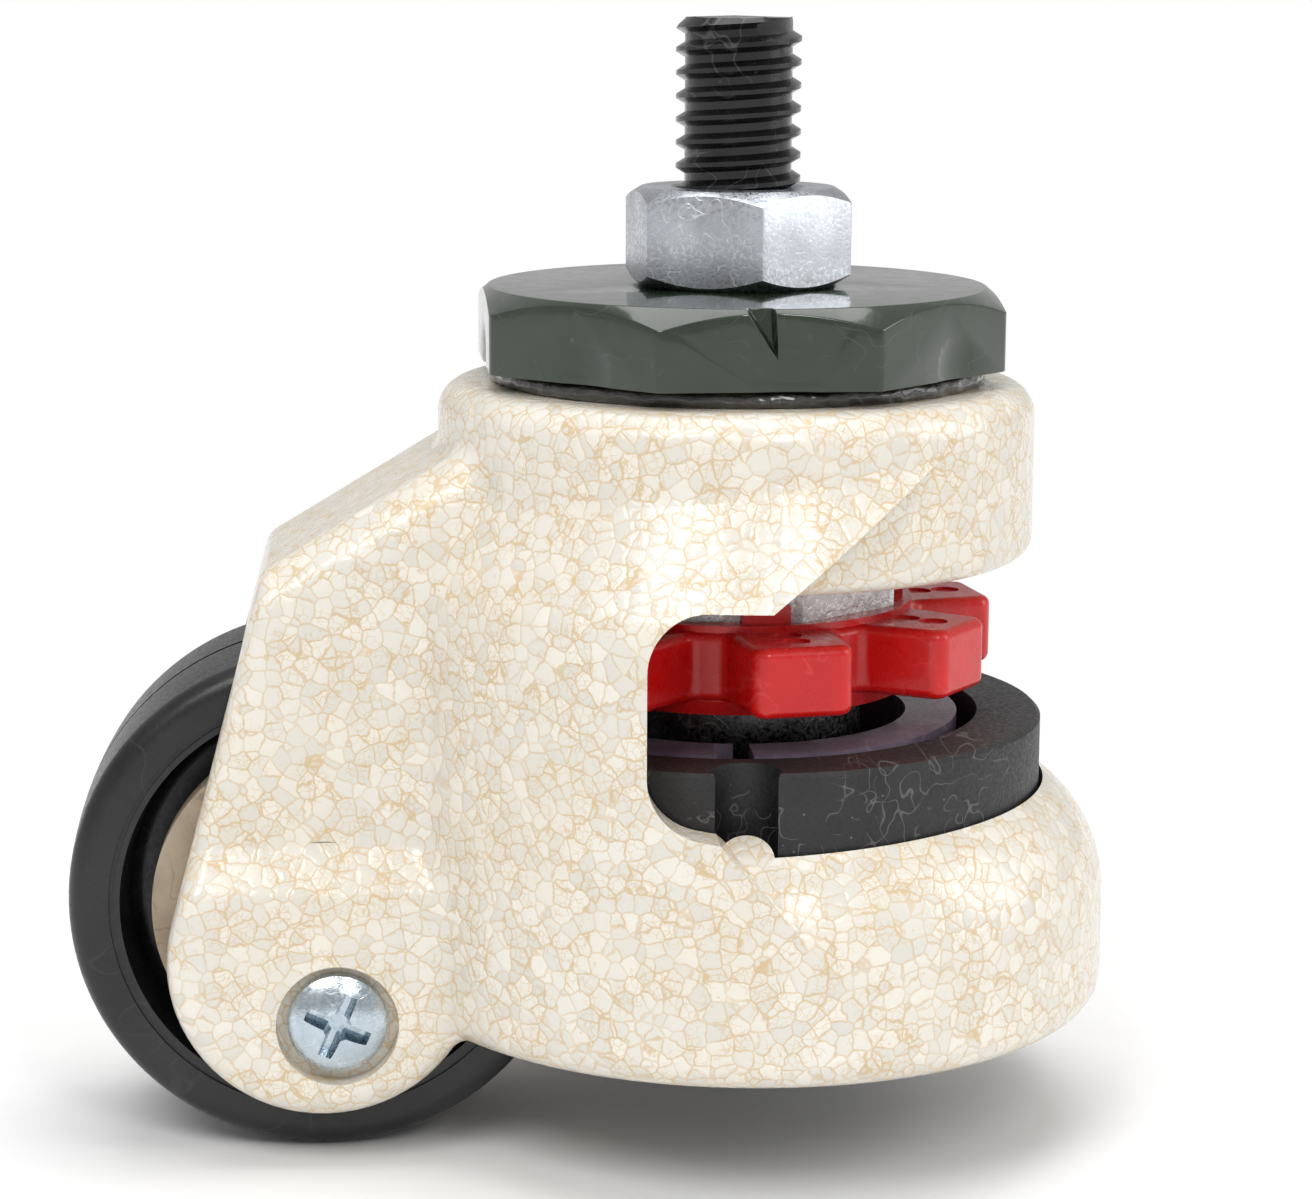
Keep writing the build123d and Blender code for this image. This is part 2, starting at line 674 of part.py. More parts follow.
def bearing_ring(inner, outer, side):
    near = side * (bearing_centre - bearing_width / 2)
    far = side * (bearing_centre + bearing_width / 2)
    turned([(near, inner), (far, inner), (far, outer), (near, outer)], axle_axis, axle_plane)
    turned_circle(
        side * bearing_centre, bearing_ball_circle, bearing_ball_radius + groove_clearance,
        axle_axis, axle_plane,
    )


with BuildPart() as bearing_inner_left:
    bearing_ring(axle_radius + press_clearance, inner_wall_radius, -1)
bearing_inner_left.part.label = "bearing_inner_left"

with BuildPart() as bearing_inner_right:
    bearing_ring(axle_radius + press_clearance, inner_wall_radius, 1)
bearing_inner_right.part.label = "bearing_inner_right"

with BuildPart() as bearing_outer_left:
    bearing_ring(outer_wall_radius, bearing_radius, -1)
bearing_outer_left.part.label = "bearing_outer_left"

with BuildPart() as bearing_outer_right:
    bearing_ring(outer_wall_radius, bearing_radius, 1)
bearing_outer_right.part.label = "bearing_outer_right"

with BuildPart() as bearing_balls:
    for side in (-1, 1):
        ball_plane = Plane(
            origin=(axle_x, side * bearing_centre, axle_z), x_dir=(1, 0, 0), z_dir=(0, -1, 0)
        )
        with Locations(ball_plane):
            with PolarLocations(bearing_ball_circle, bearing_ball_count):
                Sphere(bearing_ball_radius)
bearing_balls.part.label = "bearing_balls"

with BuildPart() as axle:
    bar(axle_x, axle_z, axle_radius, -axle_length / 2, axle_length / 2, mode=Mode.ADD)
    chamfer(axle.edges().filter_by(GeomType.CIRCLE), 0.5)
axle.part.label = "axle"


def axle_washer(side):
    near = side * (hub_half_width + 0.05)
    far = side * (hub_half_width + 0.05 + washer_thickness)
    inner = axle_radius + press_clearance
    turned(
        [(near, inner), (far, inner), (far, washer_radius), (near, washer_radius)],
        axle_axis, axle_plane,
    )


with BuildPart() as axle_washer_left:
    axle_washer(-1)
axle_washer_left.part.label = "axle_washer_left"

with BuildPart() as axle_washer_right:
    axle_washer(1)
axle_washer_right.part.label = "axle_washer_right"

# ---------------------------------------------------------------- carriers and their screws
screw_floor = lobe_half_width - screw_pocket_depth


def carrier(side):
    outer = well_half_width
    turned(
        [
            (side * carrier_face, axle_radius + press_clearance),
            (side * carrier_face, carrier_radius - 1.2),
            (side * (carrier_face + 1.2), carrier_radius), (side * outer, carrier_radius),
            (side * outer, spigot_radius), (side * (outer + spigot_length), spigot_radius),
            (side * (outer + spigot_length), 0),
            (side * (axle_length / 2 + press_clearance), 0),
            (side * (axle_length / 2 + press_clearance), axle_radius + press_clearance),
        ],
        axle_axis, axle_plane,
    )
    bar(
        screw_x, screw_z, screw_shank_radius + press_clearance,
        side * (screw_point - 0.4), side * (outer + 1),
    )


def screw(side):
    head_top = screw_floor + screw_head_height
    crown = 0.7
    screw_plane = Plane(origin=(screw_x, 0, screw_z), x_dir=(0, 1, 0), z_dir=(1, 0, 0))
    screw_axis = Axis((screw_x, 0, screw_z), (0, 1, 0))
    with BuildSketch(screw_plane) as screw_section:
        with BuildLine():
            Polyline(
                (side * head_top, 0), (side * screw_point, 0),
                (side * screw_point, screw_shank_radius - 0.6),
                (side * (screw_point + 0.6), screw_shank_radius),
                (side * screw_floor, screw_shank_radius), (side * screw_floor, screw_head_radius),
                (side * (head_top - crown - 0.4), screw_head_radius),
            )
            ThreePointArc(
                (side * (head_top - crown - 0.4), screw_head_radius),
                (side * (head_top - 0.3 * crown), screw_head_radius * 0.62), (side * head_top, 0),
            )
        make_face()
    revolve(screw_section.sketch, axis=screw_axis)
    # cross recess, four arms that narrow towards the bottom
    with BuildSketch(Plane.XZ.offset(-side * (head_top + 0.1))) as recess:
        with Locations((screw_x, screw_z)):
            Rectangle(recess_length, recess_width, rotation=-recess_turn)
            Rectangle(recess_width, recess_length, rotation=-recess_turn)
            Circle(recess_width * 0.9)
    extrude(recess.sketch, amount=side * recess_depth, taper=14, mode=Mode.SUBTRACT)


with BuildPart() as carrier_left:
    carrier(-1)
carrier_left.part.label = "carrier_left"

with BuildPart() as carrier_right:
    carrier(1)
carrier_right.part.label = "carrier_right"

with BuildPart() as screw_left:
    screw(-1)
screw_left.part.label = "screw_left"

with BuildPart() as screw_right:
    screw(1)
screw_right.part.label = "screw_right"

# ---------------------------------------------------------------- thumbwheel and adjuster nut
insert_bottom = hub_bottom + insert_inset
insert_height = collar_bottom - insert_bottom
hub_radius_outer = insert_across_flats / 2 + hub_wall
neck_top = collar_bottom + neck_height
insert_corner = insert_across_flats / 2 / cos(radians(22.5))
with BuildPart() as adjuster_nut:
    with BuildSketch(Plane.XY.offset(insert_bottom)):
        RegularPolygon(insert_across_flats / 2, 8, major_radius=False, rotation=insert_turn)
    extrude(amount=insert_height)
    coned(insert_corner - 0.6, insert_corner, 30, insert_bottom, collar_bottom)
    turned([
        (0, collar_bottom), (neck_radius, collar_bottom), (neck_radius, neck_top), (0, neck_top),
    ])
    neck_groove_radius = neck_radius - neck_groove_depth
    turned(
        [
            (neck_groove_radius, collar_bottom + neck_groove_rise),
            (neck_radius + 1, collar_bottom + neck_groove_rise),
            (neck_radius + 1, collar_bottom + neck_groove_rise + neck_groove_width),
            (neck_groove_radius, collar_bottom + neck_groove_rise + neck_groove_width),
        ],
        mode=Mode.SUBTRACT,
    )
    with Locations((0, 0, neck_top)):
        Hole(tube_radius + thread_running)
    mouths = adjuster_nut.edges().filter_by(GeomType.CIRCLE).filter_by(
        lambda e: abs(e.radius - tube_radius - thread_running) < 0.01
    )
    chamfer(mouths, 0.5)
adjuster_nut.part.label = "adjuster_nut"

with BuildPart() as thumbwheel:
    with BuildSketch(Plane.XY.offset(lobe_bottom)) as lobes:
        Circle(lobe_valley_radius)
        with PolarLocations(0, lobe_count, start_angle=lobe_turn):
            Polygon(
                (lobe_valley_radius - 3, -lobe_root_half), (lobe_reach, -lobe_face_half),
                (lobe_reach, lobe_face_half), (lobe_valley_radius - 3, lobe_root_half),
                align=None,
            )
        valleys = [v for v in lobes.vertices() if hypot(v.X, v.Y) < lobe_valley_radius + 1]
        fillet(valleys, radius=1.2)
        corners = [v for v in lobes.vertices() if hypot(v.X, v.Y) > lobe_reach]
        fillet(corners, radius=lobe_corner_rounding)
    extrude(amount=lobe_thickness)
    rims = [e for e in thumbwheel.edges() if abs(e.tangent_at(0.5).Z) < 0.1]
    fillet(rims, radius=lobe_edge_rounding)
    # hub skirt below and hub face above the lobes
    turned([
        (0, hub_bottom), (hub_radius_outer - 0.5, hub_bottom), (hub_radius_outer, lobe_bottom),
        (hub_radius_outer, hub_top), (0, hub_top),
    ])
    # tabs that hook over the insert
    with PolarLocations(insert_across_flats / 2 - 0.6, tab_count, start_angle=-85):
        with Locations((0, 0, hub_top + tab_height)):
            Box(tab_thickness, tab_width, tab_height + 2,
                align=(Align.MIN, Align.CENTER, Align.MAX))
    with BuildSketch(Plane.XY.offset(hub_bottom)):
        RegularPolygon(insert_across_flats / 2 + press_clearance, 8, major_radius=False,
                       rotation=insert_turn)
    extrude(amount=hub_top + tab_height - hub_bottom, mode=Mode.SUBTRACT)
    # ejector marks on top of every lobe
    with PolarLocations(0, lobe_count, start_angle=lobe_turn):
        with Locations(
            (lobe_reach - ejector_setback_inner, 0, lobe_top),
            (lobe_reach - ejector_setback_outer, 0, lobe_top),
        ):
            Cylinder(ejector_radius, 2 * ejector_depth, mode=Mode.SUBTRACT)
thumbwheel.part.label = "thumbwheel"

with BuildPart() as thrust_washer:
    washer_bottom = collar_bottom + thrust_clearance
    turned([
        (neck_bore_radius, washer_bottom), (thrust_washer_radius, washer_bottom),
        (thrust_washer_radius, washer_bottom + thrust_washer_thickness),
        (neck_bore_radius, washer_bottom + thrust_washer_thickness),
    ])
thrust_washer.part.label = "thrust_washer"

with BuildPart() as snap_ring:
    with BuildSketch(Plane.XZ):
        with Locations((snap_ring_radius, snap_level)):
            Circle(snap_ring_wire)
    revolve(axis=Axis.Z, revolution_arc=360 - snap_ring_gap)
snap_ring.part.label = "snap_ring"

# ---------------------------------------------------------------- foot
pad_bottom = drum_bottom
plate_bottom = pad_bottom + pad_floor
plate_top = pad_top - plate_below_rim
with BuildPart() as foot_pad:
    with BuildSketch(Plane.XY.offset(pad_bottom)):
        Circle(pad_radius)
        with Locations((pad_back, 0)):
            Rectangle(pad_radius, 3 * pad_radius, align=(Align.MAX, Align.CENTER),
                      mode=Mode.SUBTRACT)
        with Locations(*key_places(pad_radius - notch_setback)):
            Circle(notch_radius, mode=Mode.SUBTRACT)
    extrude(amount=pad_top - pad_bottom)
    rim = foot_pad.faces().sort_by(Axis.Z)[-1].edges().filter_by(GeomType.CIRCLE)
    chamfer([e for e in rim if e.radius > pad_radius - 1], 0.4)
    # stepped hollow: the plate below, a wider mouth at the rim
    turned(
        [
            (0, plate_bottom), (plate_radius + press_clearance, plate_bottom),
            (plate_radius + press_clearance, pad_top - pad_step_depth),
            (plate_radius + pad_step_width, pad_top - pad_step_depth + pad_step_width),
            (plate_radius + pad_step_width, pad_top + 1),
            (0, pad_top + 1),
        ],
        mode=Mode.SUBTRACT,
    )
    # grip grooves across the underside
    with BuildSketch(Plane.XY.offset(pad_bottom)):
        with GridLocations(6, 1, 7, 1):
            with Locations((pad_groove_shift, 0)):
                Rectangle(pad_groove_width, 3 * pad_radius)
    extrude(amount=pad_groove_depth, mode=Mode.SUBTRACT)
foot_pad.part.label = "foot_pad"

with BuildPart() as foot_plate:
    turned([
        (tube_radius + press_clearance, plate_bottom), (plate_radius, plate_bottom),
        (plate_radius, plate_top), (plate_radius - plate_cup_wall, plate_top),
        (plate_radius - plate_cup_wall, plate_bottom + plate_base_thickness),
        (tube_radius + press_clearance, plate_bottom + plate_base_thickness),
    ])
    with Locations((pad_back, 0, 0)):
        Box(4 * plate_radius, 4 * plate_radius, 8 * plate_radius,
            align=(Align.MAX, Align.CENTER, Align.CENTER), mode=Mode.SUBTRACT)
    with Locations(Vector(plate_radius, 0, plate_top).rotate(Axis.Z, plate_notch_angle)):
        Box(plate_notch_width, 2 * plate_cup_wall, 2 * plate_notch_depth, mode=Mode.SUBTRACT)
foot_plate.part.label = "foot_plate"

with BuildPart() as lifting_tube:
    turned([
        (tube_radius - tube_wall, plate_bottom), (tube_radius, plate_bottom),
        (tube_radius, tube_top), (tube_radius - tube_wall, tube_top),
    ])
    chamfer(lifting_tube.edges().filter_by(GeomType.CIRCLE).group_by(Axis.Z)[-1], 0.4)
lifting_tube.part.label = "lifting_tube"

for piece in (
    housing, threaded_stem, lock_nut, swivel_cap, race_seal, upper_balls, lower_balls,
    lower_race, kingpin_nut, wheel, bearing_inner_left, bearing_inner_right,
    bearing_outer_left, bearing_outer_right, bearing_balls, axle, axle_washer_left,
    axle_washer_right, carrier_left, carrier_right, screw_left, screw_right, thumbwheel,
    adjuster_nut, thrust_washer, snap_ring, foot_pad, foot_plate, lifting_tube,
):
    export_step(piece.part, f"parts/{piece.part.label}.step")
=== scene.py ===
import bpy
import json
import math
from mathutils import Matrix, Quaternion, Vector, noise

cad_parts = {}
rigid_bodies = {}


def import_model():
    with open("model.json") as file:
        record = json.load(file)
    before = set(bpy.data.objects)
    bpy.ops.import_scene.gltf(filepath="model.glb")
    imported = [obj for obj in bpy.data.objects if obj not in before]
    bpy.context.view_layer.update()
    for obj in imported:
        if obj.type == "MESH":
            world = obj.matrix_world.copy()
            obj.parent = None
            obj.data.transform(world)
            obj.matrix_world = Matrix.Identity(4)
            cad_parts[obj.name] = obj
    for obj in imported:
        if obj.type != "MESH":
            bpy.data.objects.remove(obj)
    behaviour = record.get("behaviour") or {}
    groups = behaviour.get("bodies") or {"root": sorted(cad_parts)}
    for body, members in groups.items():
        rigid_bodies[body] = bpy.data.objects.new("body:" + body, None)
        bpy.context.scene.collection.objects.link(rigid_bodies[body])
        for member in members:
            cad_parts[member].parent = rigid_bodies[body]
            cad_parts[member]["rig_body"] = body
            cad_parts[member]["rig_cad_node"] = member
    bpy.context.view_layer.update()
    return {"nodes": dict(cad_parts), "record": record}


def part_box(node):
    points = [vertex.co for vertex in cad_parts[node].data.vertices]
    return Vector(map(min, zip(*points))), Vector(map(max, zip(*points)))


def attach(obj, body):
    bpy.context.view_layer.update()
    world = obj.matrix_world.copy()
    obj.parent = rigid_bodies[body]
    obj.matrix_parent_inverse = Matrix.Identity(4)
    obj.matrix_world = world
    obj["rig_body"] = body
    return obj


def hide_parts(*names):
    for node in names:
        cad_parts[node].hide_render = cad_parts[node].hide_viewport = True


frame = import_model()
cadNodes = frame["nodes"]
mm = 0.001
print("stage: frame loaded")


# shader helpers

def put(tree, kind, values=None, **settings):
    made = tree.nodes.new(kind)
    for key, value in settings.items():
        setattr(made, key, value)
    for key, value in (values or {}).items():
        socket = made.inputs[key]
        if isinstance(value, bpy.types.NodeSocket):
            tree.links.new(value, socket)
        else:
            socket.default_value = value
    return made


def calc(tree, operation, first, second=0.0, clamp=False):
    made = put(tree, "ShaderNodeMath", {0: first, 1: second}, operation=operation, use_clamp=clamp)
    return made.outputs[0]


def between(tree, value, low, high, bottom=0.0, top=1.0):
    # the value's place between low and high, eased at both ends
    made = put(
        tree, "ShaderNodeMapRange",
        {"Value": value, "From Min": low, "From Max": high, "To Min": bottom, "To Max": top},
        interpolation_type="SMOOTHSTEP",
    )
    return made.outputs[0]


def tint(tree, factor, first, second):
    made = put(tree, "ShaderNodeMix", {0: factor}, data_type="RGBA")
    for index, colour in ((6, first), (7, second)):
        if isinstance(colour, bpy.types.NodeSocket):
            tree.links.new(colour, made.inputs[index])
        else:
            made.inputs[index].default_value = (*colour, 1.0)
    return made.outputs[2]


def effect(name, outputs):
    # a shared effect: a node group with a vector and a scale going in, and masks coming out
    tree = bpy.data.node_groups.new(name, "ShaderNodeTree")
    tree.interface.new_socket("Vector", in_out="INPUT", socket_type="NodeSocketVector")
    tree.interface.new_socket("Scale", in_out="INPUT", socket_type="NodeSocketFloat")
    for output in outputs:
        tree.interface.new_socket(output, in_out="OUTPUT", socket_type="NodeSocketFloat")
    start = tree.nodes.new("NodeGroupInput")
    end = tree.nodes.new("NodeGroupOutput")
    return tree, start.outputs["Vector"], start.outputs["Scale"], end


mottle = {"detail": 5.0, "roughness": 0.6, "low": 0.3, "high": 0.7}


def mottleEffect():
    tree, vector, scale, end = effect("softMottle", ["Mask"])
    cloud = put(
        tree, "ShaderNodeTexNoise",
        {
            "Vector": vector, "Scale": scale,
            "Detail": mottle["detail"], "Roughness": mottle["roughness"],
        },
    )
    mask = between(tree, cloud.outputs[0], mottle["low"], mottle["high"])
    tree.links.new(mask, end.inputs["Mask"])
    return tree


hairline = {
    "passes": [(0.4, 0.12), (1.7, 0.2), (2.6, 0.3)], "tilt": 0.6, "width": 0.012,
    "coarser": 0.55, "shownFrom": 0.54, "shownTo": 0.6,
}


def scratchEffect():
    # hairlines follow the level lines of a cloud, broken up by a coarser one
    tree, vector, scale, end = effect("hairScratches", ["Mask"])
    masks = []
    for turn, stretch in hairline["passes"]:
        mapped = put(
            tree, "ShaderNodeMapping",
            {
                "Vector": vector, "Rotation": (turn, turn * hairline["tilt"], turn),
                "Scale": (1.0, stretch, 1.0),
            },
        )
        cloud = put(
            tree, "ShaderNodeTexNoise",
            {"Vector": mapped.outputs[0], "Scale": scale, "Detail": 1.0},
        )
        coarseScale = calc(tree, "MULTIPLY", scale, hairline["coarser"])
        coarse = put(
            tree, "ShaderNodeTexNoise", {"Vector": mapped.outputs[0], "Scale": coarseScale}
        )
        off = calc(tree, "ABSOLUTE", calc(tree, "SUBTRACT", cloud.outputs[0], 0.5))
        line = between(tree, off, 0.0, hairline["width"], 1.0, 0.0)
        shown = between(tree, coarse.outputs[0], hairline["shownFrom"], hairline["shownTo"])
        masks.append(calc(tree, "MULTIPLY", line, shown))
    both = calc(tree, "MAXIMUM", calc(tree, "MAXIMUM", masks[0], masks[1]), masks[2])
    tree.links.new(both, end.inputs["Mask"])
    return tree


speck = {"chosenFrom": 0.72, "chosenTo": 0.78, "core": 0.05, "rim": 0.16}


def speckEffect():
    tree, vector, scale, end = effect("paleSpecks", ["Mask"])
    cells = put(
        tree, "ShaderNodeTexVoronoi", {"Vector": vector, "Scale": scale, "Randomness": 1.0}
    )
    tone = put(tree, "ShaderNodeSeparateColor", {"Color": cells.outputs["Color"]}).outputs[0]
    picked = between(tree, tone, speck["chosenFrom"], speck["chosenTo"])
    dot = between(tree, cells.outputs["Distance"], speck["core"], speck["rim"], 1.0, 0.0)
    tree.links.new(calc(tree, "MULTIPLY", dot, picked), end.inputs["Mask"])
    return tree


pebbles = {
    "wanderScale": 1.6, "wanderDetail": 2.0, "wander": 0.0007, "smallScale": 2.1,
    "patchScale": 0.5, "patchDetail": 2.0, "wide": (0.015, 0.075), "fine": (0.01, 0.07),
    "fineShown": (0.46, 0.56), "fineAmount": 0.75, "strongFrom": (0.3, 0.6), "faintest": 0.5,
    "dome": 0.3,
}


def veinEffect():
    # pebbled enamel: pale cells with thin darker veins between them
    tree, vector, scale, end = effect("veinedCells", ["Veins", "Tone", "Height"])
    wander = put(
        tree, "ShaderNodeTexNoise",
        {
            "Vector": vector, "Scale": calc(tree, "MULTIPLY", scale, pebbles["wanderScale"]),
            "Detail": pebbles["wanderDetail"],
        },
    )
    centred = put(
        tree, "ShaderNodeVectorMath",
        {0: wander.outputs["Color"], 1: (0.5, 0.5, 0.5)}, operation="SUBTRACT",
    )
    shrunk = put(
        tree, "ShaderNodeVectorMath",
        {0: centred.outputs[0], 1: (pebbles["wander"],) * 3}, operation="MULTIPLY",
    )
    moved = put(
        tree, "ShaderNodeVectorMath", {0: vector, 1: shrunk.outputs[0]}, operation="ADD"
    )
    edge = put(
        tree, "ShaderNodeTexVoronoi", {"Vector": moved.outputs[0], "Scale": scale},
        feature="DISTANCE_TO_EDGE",
    )
    cells = put(tree, "ShaderNodeTexVoronoi", {"Vector": moved.outputs[0], "Scale": scale})
    smallScale = calc(tree, "MULTIPLY", scale, pebbles["smallScale"])
    small = put(
        tree, "ShaderNodeTexVoronoi", {"Vector": moved.outputs[0], "Scale": smallScale},
        feature="DISTANCE_TO_EDGE",
    )
    patches = put(
        tree, "ShaderNodeTexNoise",
        {
            "Vector": vector, "Scale": calc(tree, "MULTIPLY", scale, pebbles["patchScale"]),
            "Detail": pebbles["patchDetail"],
        },
    )
    wide = between(tree, edge.outputs["Distance"], *pebbles["wide"], 1.0, 0.0)
    fine = between(tree, small.outputs["Distance"], *pebbles["fine"], 1.0, 0.0)
    shown = between(tree, patches.outputs[0], *pebbles["fineShown"])
    strength = between(tree, patches.outputs[0], *pebbles["strongFrom"], pebbles["faintest"], 1.0)
    wideVeins = calc(tree, "MULTIPLY", wide, strength)
    fineVeins = calc(
        tree, "MULTIPLY", calc(tree, "MULTIPLY", fine, shown), pebbles["fineAmount"]
    )
    veins = calc(tree, "MAXIMUM", wideVeins, fineVeins)
    tree.links.new(veins, end.inputs["Veins"])
    tone = put(tree, "ShaderNodeSeparateColor", {"Color": cells.outputs["Color"]}).outputs[0]
    tree.links.new(tone, end.inputs["Tone"])
    dome = between(tree, edge.outputs["Distance"], 0.0, pebbles["dome"])
    tree.links.new(dome, end.inputs["Height"])
    return tree


effects = {
    "mottle": mottleEffect(), "scratches": scratchEffect(),
    "specks": speckEffect(), "veins": veinEffect(),
}


def useEffect(tree, name, vector, scale):
    made = tree.nodes.new("ShaderNodeGroup")
    made.node_tree = effects[name]
    tree.links.new(vector, made.inputs["Vector"])
    made.inputs["Scale"].default_value = scale
    return made


surface = {
    "coatRoughness": 0.06, "markRoughness": 0.15, "markDepth": 0.5,
    "cloudAmount": 0.35, "speckAmount": 0.5, "cloudHeight": 0.2,
}


def finish(tree, colour, roughness, height, settings):
    bump = put(
        tree, "ShaderNodeBump",
        {"Height": height, "Strength": settings["bump"], "Distance": settings["depth"]},
    )
    shader = put(
        tree, "ShaderNodeBsdfPrincipled",
        {
            "Base Color": colour, "Roughness": roughness, "Metallic": settings["metal"],
            "Coat Weight": settings["coat"], "Coat Roughness": surface["coatRoughness"],
            "Normal": bump.outputs[0],
        },
    )
    output = tree.nodes.new("ShaderNodeOutputMaterial")
    tree.links.new(shader.outputs[0], output.inputs[0])


def startMaterial(name):
    material = bpy.data.materials.new(name)
    material.use_nodes = True
    tree = material.node_tree
    tree.nodes.clear()
    return material, tree, tree.nodes.new("ShaderNodeTexCoord").outputs["Object"]


def makeCoat(name, settings):
    material, tree, place = startMaterial(name)
    blotches = useEffect(tree, "mottle", place, settings["mottle"]).outputs["Mask"]
    grain = useEffect(tree, "mottle", place, settings["grain"]).outputs["Mask"]
    scratches = useEffect(tree, "scratches", place, settings["scratch"]).outputs["Mask"]
    specks = useEffect(tree, "specks", place, settings["speck"]).outputs["Mask"]
    colour = tint(tree, blotches, settings["dark"], settings["light"])
    marks = calc(tree, "MULTIPLY", scratches, settings["scratchAmount"])
    dots = calc(tree, "MULTIPLY", specks, settings["speckAmount"])
    both = calc(tree, "MAXIMUM", marks, dots)
    colour = tint(tree, both, colour, settings["mark"])
    rough = between(tree, grain, 0.0, 1.0, settings["smooth"], settings["rough"])
    extra = calc(tree, "MULTIPLY", both, surface["markRoughness"])
    rough = calc(tree, "ADD", rough, extra, clamp=True)
    height = calc(
        tree, "SUBTRACT", calc(tree, "MULTIPLY", grain, settings["grainHeight"]),
        calc(tree, "MULTIPLY", both, surface["markDepth"]),
    )
    finish(tree, colour, rough, height, settings)
    return material


def makeEnamel(name, settings):
    material, tree, place = startMaterial(name)
    cells = useEffect(tree, "veins", place, settings["cells"])
    clouds = useEffect(tree, "mottle", place, settings["mottle"]).outputs["Mask"]
    specks = useEffect(tree, "specks", place, settings["speck"]).outputs["Mask"]
    colour = tint(tree, cells.outputs["Tone"], settings["pale"], settings["grey"])
    warmth = calc(tree, "MULTIPLY", clouds, surface["cloudAmount"])
    colour = tint(tree, warmth, colour, settings["warm"])
    veins = calc(tree, "MULTIPLY", cells.outputs["Veins"], settings["veinAmount"])
    colour = tint(tree, veins, colour, settings["vein"])
    dots = calc(tree, "MULTIPLY", specks, surface["speckAmount"])
    colour = tint(tree, dots, colour, settings["vein"])
    rough = between(tree, cells.outputs["Veins"], 0.0, 1.0, settings["smooth"], settings["rough"])
    swell = calc(tree, "MULTIPLY", clouds, surface["cloudHeight"])
    height = calc(tree, "ADD", cells.outputs["Height"], swell)
    finish(tree, colour, rough, height, settings)
    return material


def coatLike(base, **changes):
    return {**base, **changes}


